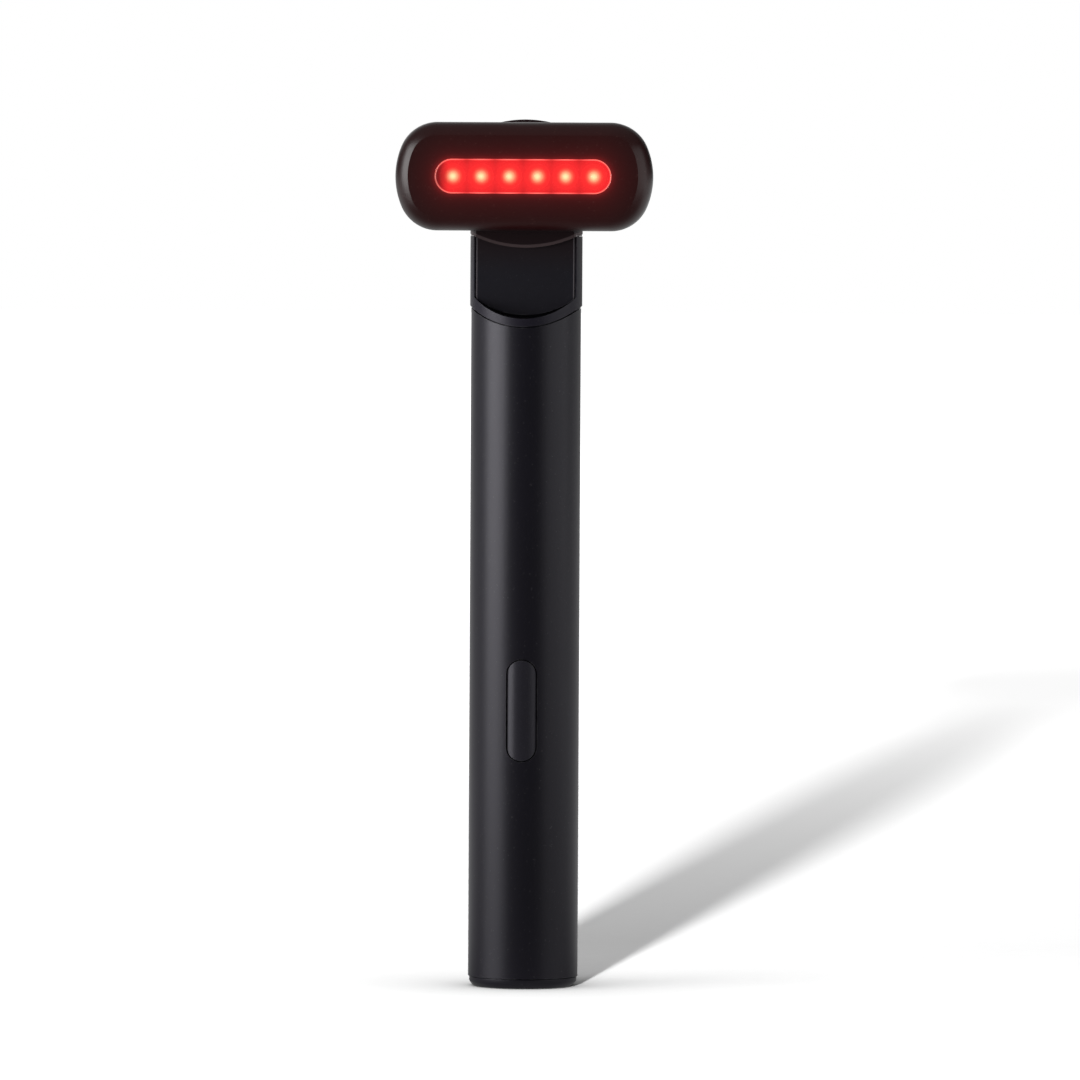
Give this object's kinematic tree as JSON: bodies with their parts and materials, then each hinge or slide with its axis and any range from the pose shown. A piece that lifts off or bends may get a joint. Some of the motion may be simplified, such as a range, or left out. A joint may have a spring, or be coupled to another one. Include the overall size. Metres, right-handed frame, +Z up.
{
  "type": "heated eye massager wand",
  "caption": "Slim round-handled heated massage wand with a bar-shaped lit treatment head that swivels from across the handle to in line with it, and a long push button.",
  "frame": {"origin": "middle of the flat foot that the wand stands on, on the handle's axis", "axes": "+Z up the handle, -Y the front, with the button and the lit face, +X to the right seen from the front"},
  "size_m": [0.0454, 0.0242, 0.154],
  "materials": {
    "anodised_black": "satin black anodised",
    "board_green": "solder mask",
    "brass": "plain",
    "button_black": "satin black",
    "cell_wrap": "wrapped can",
    "chip_black": "moulded",
    "film_amber": "polyimide",
    "head_black": "satin black with fine sparkle",
    "inner_plastic": "moulded",
    "lead_red": "insulated",
    "led_red": "lit red",
    "neck_black": "finely textured black",
    "panel_black": "flat matte black",
    "rubber_black": "matte",
    "steel": "bright",
    "tray_white": "satin white",
    "window_red": "clear polished"
  },
  "bodies": {
    "handle": {"handle_tube": "anodised_black", "foot_cap": "anodised_black", "foot_seal": "rubber_black", "neck_seal": "rubber_black", "motor_sleeve": "rubber_black", "charging_socket": "steel", "socket_tongue": "chip_black", "charge_board": "board_green", "inner_chassis": "inner_plastic", "main_board": "board_green", "board_components": "chip_black", "board_screw": "steel", "battery_cell": "cell_wrap", "battery_tabs": "steel", "switch_body": "chip_black", "button_guide": "inner_plastic", "vibration_motor": "steel", "neck_frame": "neck_black", "neck_panel": "panel_black", "swivel_housing": "neck_black", "housing_cover": "neck_black", "friction_washer": "steel", "handle_leads": "lead_red"},
    "head": {"swivel_shaft": "steel", "shaft_screws": "steel", "index_plate": "steel", "retaining_clip": "steel", "head_rear_shell": "head_black", "head_front_shell": "head_black", "window_lens": "window_red", "heater_film": "film_amber", "temperature_sensor": "chip_black", "light_tray": "tray_white", "led_board": "board_green", "leds": "led_red", "led_board_screws": "steel", "head_leads": "lead_red"},
    "button": {"button_cap": "button_black", "switch_plunger": "chip_black"},
    "rotor": {"motor_shaft": "steel", "eccentric_weight": "brass"}
  },
  "joints": [
    {"name": "head_swivel", "type": "hinge", "parent": "handle", "child": "head", "pos_m": [0, 0, 0.1438], "axis": [0, 1, 0], "range_deg": [-90, 90]},
    {"name": "button_press", "type": "slide", "parent": "handle", "child": "button", "axis": [0, 1, 0], "range_m": [0, 0.0005], "stiffness_N_per_m": 400, "springref_m": -0.0004},
    {"name": "motor_spin", "type": "hinge", "parent": "handle", "child": "rotor", "pos_m": [0, 0, 0.1127], "axis": [0, 0, 1], "continuous": true}
  ]
}
